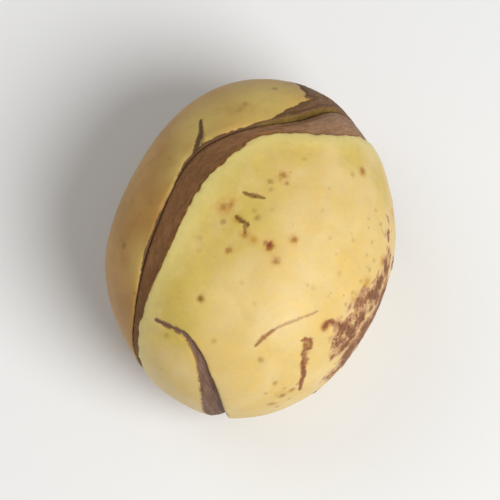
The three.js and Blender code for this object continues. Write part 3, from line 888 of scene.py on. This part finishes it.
def dressFront(half):
    look = frontLook
    tree, shader, coords = startMaterial(half, "frontSkin")
    skin = use(tree, skinGrain, Coords=coords)
    edge = kept(tree, "marginEdge")
    colour = bareSkin(tree, coords, look, skin["Tone"])
    # lighter, yellower cream along the lobe's edge: partly its own tint, partly a painted sheen on the rounded
    # edge
    colour = paint(tree, colour, spread(tree, edge, 0.1, 3.2, 1, 0), 0.7, look["edgeCreamAndSheen"])
    colour = shaded(tree, colour, timesPlus(tree, skin["Fine"], 0.42, 0.79))

    marks = markMasks(tree, coords)
    few = use(tree, specks, Coords=coords, Cell=2.1, Share=0.45, Radius=0.14)["Mask"]
    many = use(tree, specks, Coords=vectors(tree, "ADD", coords, (31.0, 7.0, 3.0)), Cell=0.9, Share=0.42,
               Radius=0.24)["Mask"]
    east, north = axes(tree, coords)[:2]
    rightSide = spread(tree, timesPlus(tree, north, -0.3, east), 6.0, 15.0)
    many = times(tree, many, rightSide)
    marks["specks"] = sums(tree, "MAXIMUM", times(tree, few, 0.6), many)
    reddened = times(tree, kept(tree, "blushes"), 3.0, clamp=True)
    dots = blend(tree, reddened, look["marks"]["spots"][0], look["redSpot"])
    thick = spread(tree, kept(tree, "crusts"), 0.6, 0.95)
    rust = paint(tree, rustTones(tree, coords, look), thick, 0.75, look["marks"]["crust"][0])
    colour = paintMarks(tree, colour, marks, look, {"spots": dots, "crust": rust})

    strand, overSeam = seamStrands(tree)
    margin = use(tree, raggedEdge, Coords=coords, Distance=edge, Fray=0.32, Soft=0.28)["Mask"]
    brown = blend(tree, strand["Streak"], look["margin"], look["marginPale"])
    paler = blend(tree, strand["Streak"], look["endBrown"], look["endPale"])
    brown = blend(tree, kept(tree, "paleEnd"), brown, paler)
    fringe = times(tree, spread(tree, edge, -0.75, -0.1),
                  spread(tree, cloud(tree, coords, 0.8, 3, 0.6), 0.34, 0.56))
    brown = paint(tree, brown, fringe, 0.9, look["fringe"])
    # painted shade: the margin darkens beside the seam, in the crevice between the halves
    brown = paint(tree, brown, spread(tree, overSeam, 0.15, 0.5, 1, 0), 0.5, look["seamShade"])
    colour = blend(tree, margin, colour, brown)

    inside = kept(tree, "cleftInside")
    outside = times(tree, inside, -1.0)
    bottom = use(tree, raggedEdge, Coords=coords, Distance=outside, Fray=0.24, Soft=0.12)["Mask"]
    groove = use(tree, fibres, Flow=kept(tree, "cleftFlow", "Vector"), Stretch=(0.6, 3.2, 1.0))
    dark = blend(tree, groove["Streak"], look["cleft"], look["cleftPale"])
    border = times(tree, spread(tree, inside, -0.36, -0.06),
                  spread(tree, cloud(tree, coords, 0.9, 3, 0.65), 0.32, 0.5))
    colour = paint(tree, colour, border, 0.9, look["cleftRim"])
    colour = blend(tree, bottom, colour, dark)
    dull = sums(tree, "MAXIMUM", margin, sums(tree, "MAXIMUM", bottom, marks["crust"]))
    marks["fibres"] = times(tree, strand["Height"], margin)
    marks["groove"] = times(tree, groove["Height"], bottom)
    finishSurface(tree, shader, look, colour, skin, dull, marks)


# Fine heights in millimetres, and what the two skins share
surface = {
    "heights": {"fibres": 0.1, "groove": 0.2, "cuts": -0.16, "scars": 0.07, "spots": -0.08, "crust": 0.05,
                "specks": -0.04},
    "skinHeight": 0.05,
    "bump": 0.8, "roughnessSpan": 0.12, "specular": 0.4,
    "glowRadius": (1.0, 0.55, 0.2), "glowScale": 0.0016,   # how far light goes into the skin
}


def finishSurface(tree, shader, look, colour, skin, dull, marks):
    feed(tree, shader.inputs["Base Color"], colour)
    height = times(tree, skin["Height"], surface["skinHeight"])
    for kind, depth in surface["heights"].items():
        if kind in marks:
            height = timesPlus(tree, marks[kind], depth, height)
    bump = put(tree, "ShaderNodeBump")
    bump.inputs["Strength"].default_value = surface["bump"]
    bump.inputs["Distance"].default_value = 0.001   # heights are millimetres
    feed(tree, bump.inputs["Height"], height)
    feed(tree, shader.inputs["Normal"], bump.outputs[0])
    rough = timesPlus(tree, skin["Fine"], surface["roughnessSpan"], look["roughness"])
    feed(tree, shader.inputs["Roughness"], timesPlus(tree, dull, look["dullness"], rough, clamp=True))
    shader.inputs["Specular IOR Level"].default_value = surface["specular"]
    shader.inputs["Subsurface Weight"].default_value = look["subsurface"]
    shader.inputs["Subsurface Radius"].default_value = surface["glowRadius"]
    shader.inputs["Subsurface Scale"].default_value = surface["glowScale"]


backLook = {
    "light": (0.55, 0.3, 0.07), "deep": (0.43, 0.22, 0.042),
    # the olive is lighter than the tan and also paints light
    "olive": (0.68, 0.5, 0.14), "oliveFrom": (0.1, 0.5), "oliveStrength": 0.9,
    "margin": (0.115, 0.052, 0.013), "marginPale": (0.25, 0.13, 0.058), "seamShade": (0.09, 0.038, 0.01),
    "slit": (0.22, 0.13, 0.018), "slitDark": (0.13, 0.07, 0.01),
    "crustPale": (0.26, 0.13, 0.06),
    "marks": {
        # the blushes here paint shade on the left flank
        "blushes": ((0.45, 0.17, 0.035), 0.4), "specks": ((0.28, 0.15, 0.05), 0.6),
        "spots": ((0.22, 0.08, 0.015), 1.0), "scars": ((0.2, 0.08, 0.02), 0.85),
        "cuts": ((0.12, 0.055, 0.012), 0.88), "stain": ((0.3, 0.15, 0.055), 0.6),
        "crust": ((0.12, 0.05, 0.02), 0.95),
    },
    "roughness": 0.42, "dullness": 0.25, "subsurface": 0.1,
}


def dressBack(half):
    look = backLook
    tree, shader, coords = startMaterial(half, "backSkin")
    skin = use(tree, skinGrain, Coords=vectors(tree, "ADD", coords, (17.0, 5.0, 9.0)))
    edge = kept(tree, "marginEdge")
    colour = bareSkin(tree, coords, look, skin["Tone"])
    colour = shaded(tree, colour, timesPlus(tree, skin["Fine"], 0.42, 0.79))

    marks = markMasks(tree, coords)
    marks["specks"] = use(tree, specks, Coords=coords, Cell=2.2, Share=0.45, Radius=0.13)["Mask"]
    colour = paintMarks(tree, colour, marks, look, {"crust": rustTones(tree, coords, look)})

    strand, overSeam = seamStrands(tree)
    margin = use(tree, raggedEdge, Coords=coords, Distance=edge, Fray=0.14, Soft=0.14)["Mask"]
    brown = blend(tree, strand["Streak"], look["margin"], look["marginPale"])
    # painted shade: the margin darkens beside the seam, in the crevice between the halves
    brown = paint(tree, brown, spread(tree, overSeam, -0.35, -0.15), 0.4, look["seamShade"])
    # painted shadow: a dark line beside the open seam's pith, where the rim shades it
    brown = paint(tree, brown, kept(tree, "slitShadowLine"), 0.85, look["seamShade"])
    brown = paint(tree, brown, spread(tree, edge, -0.7, -0.2), 0.8, look["margin"])
    pith = blend(tree, strand["Streak"], look["slit"], look["slitDark"])
    brown = blend(tree, spread(tree, kept(tree, "slit"), 0.25, 0.5), brown, pith)
    colour = blend(tree, margin, colour, brown)
    dull = sums(tree, "MAXIMUM", margin, marks["crust"])
    marks["fibres"] = times(tree, strand["Height"], margin)
    finishSurface(tree, shader, look, colour, skin, dull, marks)


frontHalf = fineCopy("cotyledon_front", "frontHalf")
keepMarks(frontHalf, frontMarks)
shapeFront(frontHalf)
dressFront(frontHalf)
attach(frontHalf, "root")
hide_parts("cotyledon_front")
print("front half:", len(frontHalf.data.polygons), "faces")

backHalf = fineCopy("cotyledon_back", "backHalf")
keepMarks(backHalf, backMarks)
shapeBack(backHalf)
dressBack(backHalf)
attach(backHalf, "root")
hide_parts("cotyledon_back")
print("back half:", len(backHalf.data.polygons), "faces")


# ---- studio: pale floor, soft light from the lower right, camera

studio = {
    "floorSize": 3.0,
    "floorColour": (0.86, 0.86, 0.85),
    "keyPlace": (0.27, -0.22, 0.43), "keySize": 0.34, "keyPower": 2.63,
    "fillPlace": (-0.35, 0.25, 0.55), "fillSize": 0.5, "fillPower": 0.76,
    "skyStrength": 0.28,
    "aim": (0, 0, 0.014), "sensor": 36,
}


def buildFloor():
    bpy.ops.object.select_all(action="DESELECT")
    bpy.ops.mesh.primitive_plane_add(size=studio["floorSize"], location=(0, 0, 0))
    floor = bpy.context.active_object
    floor.name = "floor"
    tree, shader, coords = startMaterial(floor, "floorPaper")
    tone = cloud(tree, coords, 40.0, 3)
    darker = tuple(value * 0.98 for value in studio["floorColour"])
    feed(tree, shader.inputs["Base Color"], blend(tree, tone, studio["floorColour"], darker))
    shader.inputs["Roughness"].default_value = 0.9


def addLamp(name, place, size, power):
    data = bpy.data.lights.new(name, "AREA")
    data.shape = "DISK"
    data.size = size
    data.energy = power
    lamp = bpy.data.objects.new(name, data)
    lamp.location = place
    lamp.rotation_euler = (Vector(studio["aim"]) - Vector(place)).to_track_quat("-Z", "Y").to_euler()
    bpy.context.collection.objects.link(lamp)


def buildCamera():
    data = bpy.data.cameras.new("camera")
    data.sensor_width = studio["sensor"]
    data.lens = studio["sensor"] * picture["distance"] / picture["frameWidth"]
    data.clip_start = 0.01
    camera = bpy.data.objects.new("camera", data)
    camera.location = (middle + toEye * picture["distance"]) / 1000
    camera.rotation_euler = (-toEye).to_track_quat("-Z", "Y").to_euler()
    bpy.context.collection.objects.link(camera)
    bpy.context.scene.camera = camera


buildFloor()
addLamp("key", studio["keyPlace"], studio["keySize"], studio["keyPower"])
addLamp("fill", studio["fillPlace"], studio["fillSize"], studio["fillPower"])
buildCamera()
world = bpy.data.worlds.new("studioSky")
world.use_nodes = True
sky = world.node_tree.nodes["Background"].inputs
sky["Color"].default_value = (1, 1, 1, 1)
sky["Strength"].default_value = studio["skyStrength"]
bpy.context.scene.world = world
bpy.context.scene.view_settings.view_transform = "Standard"
print("studio ready")
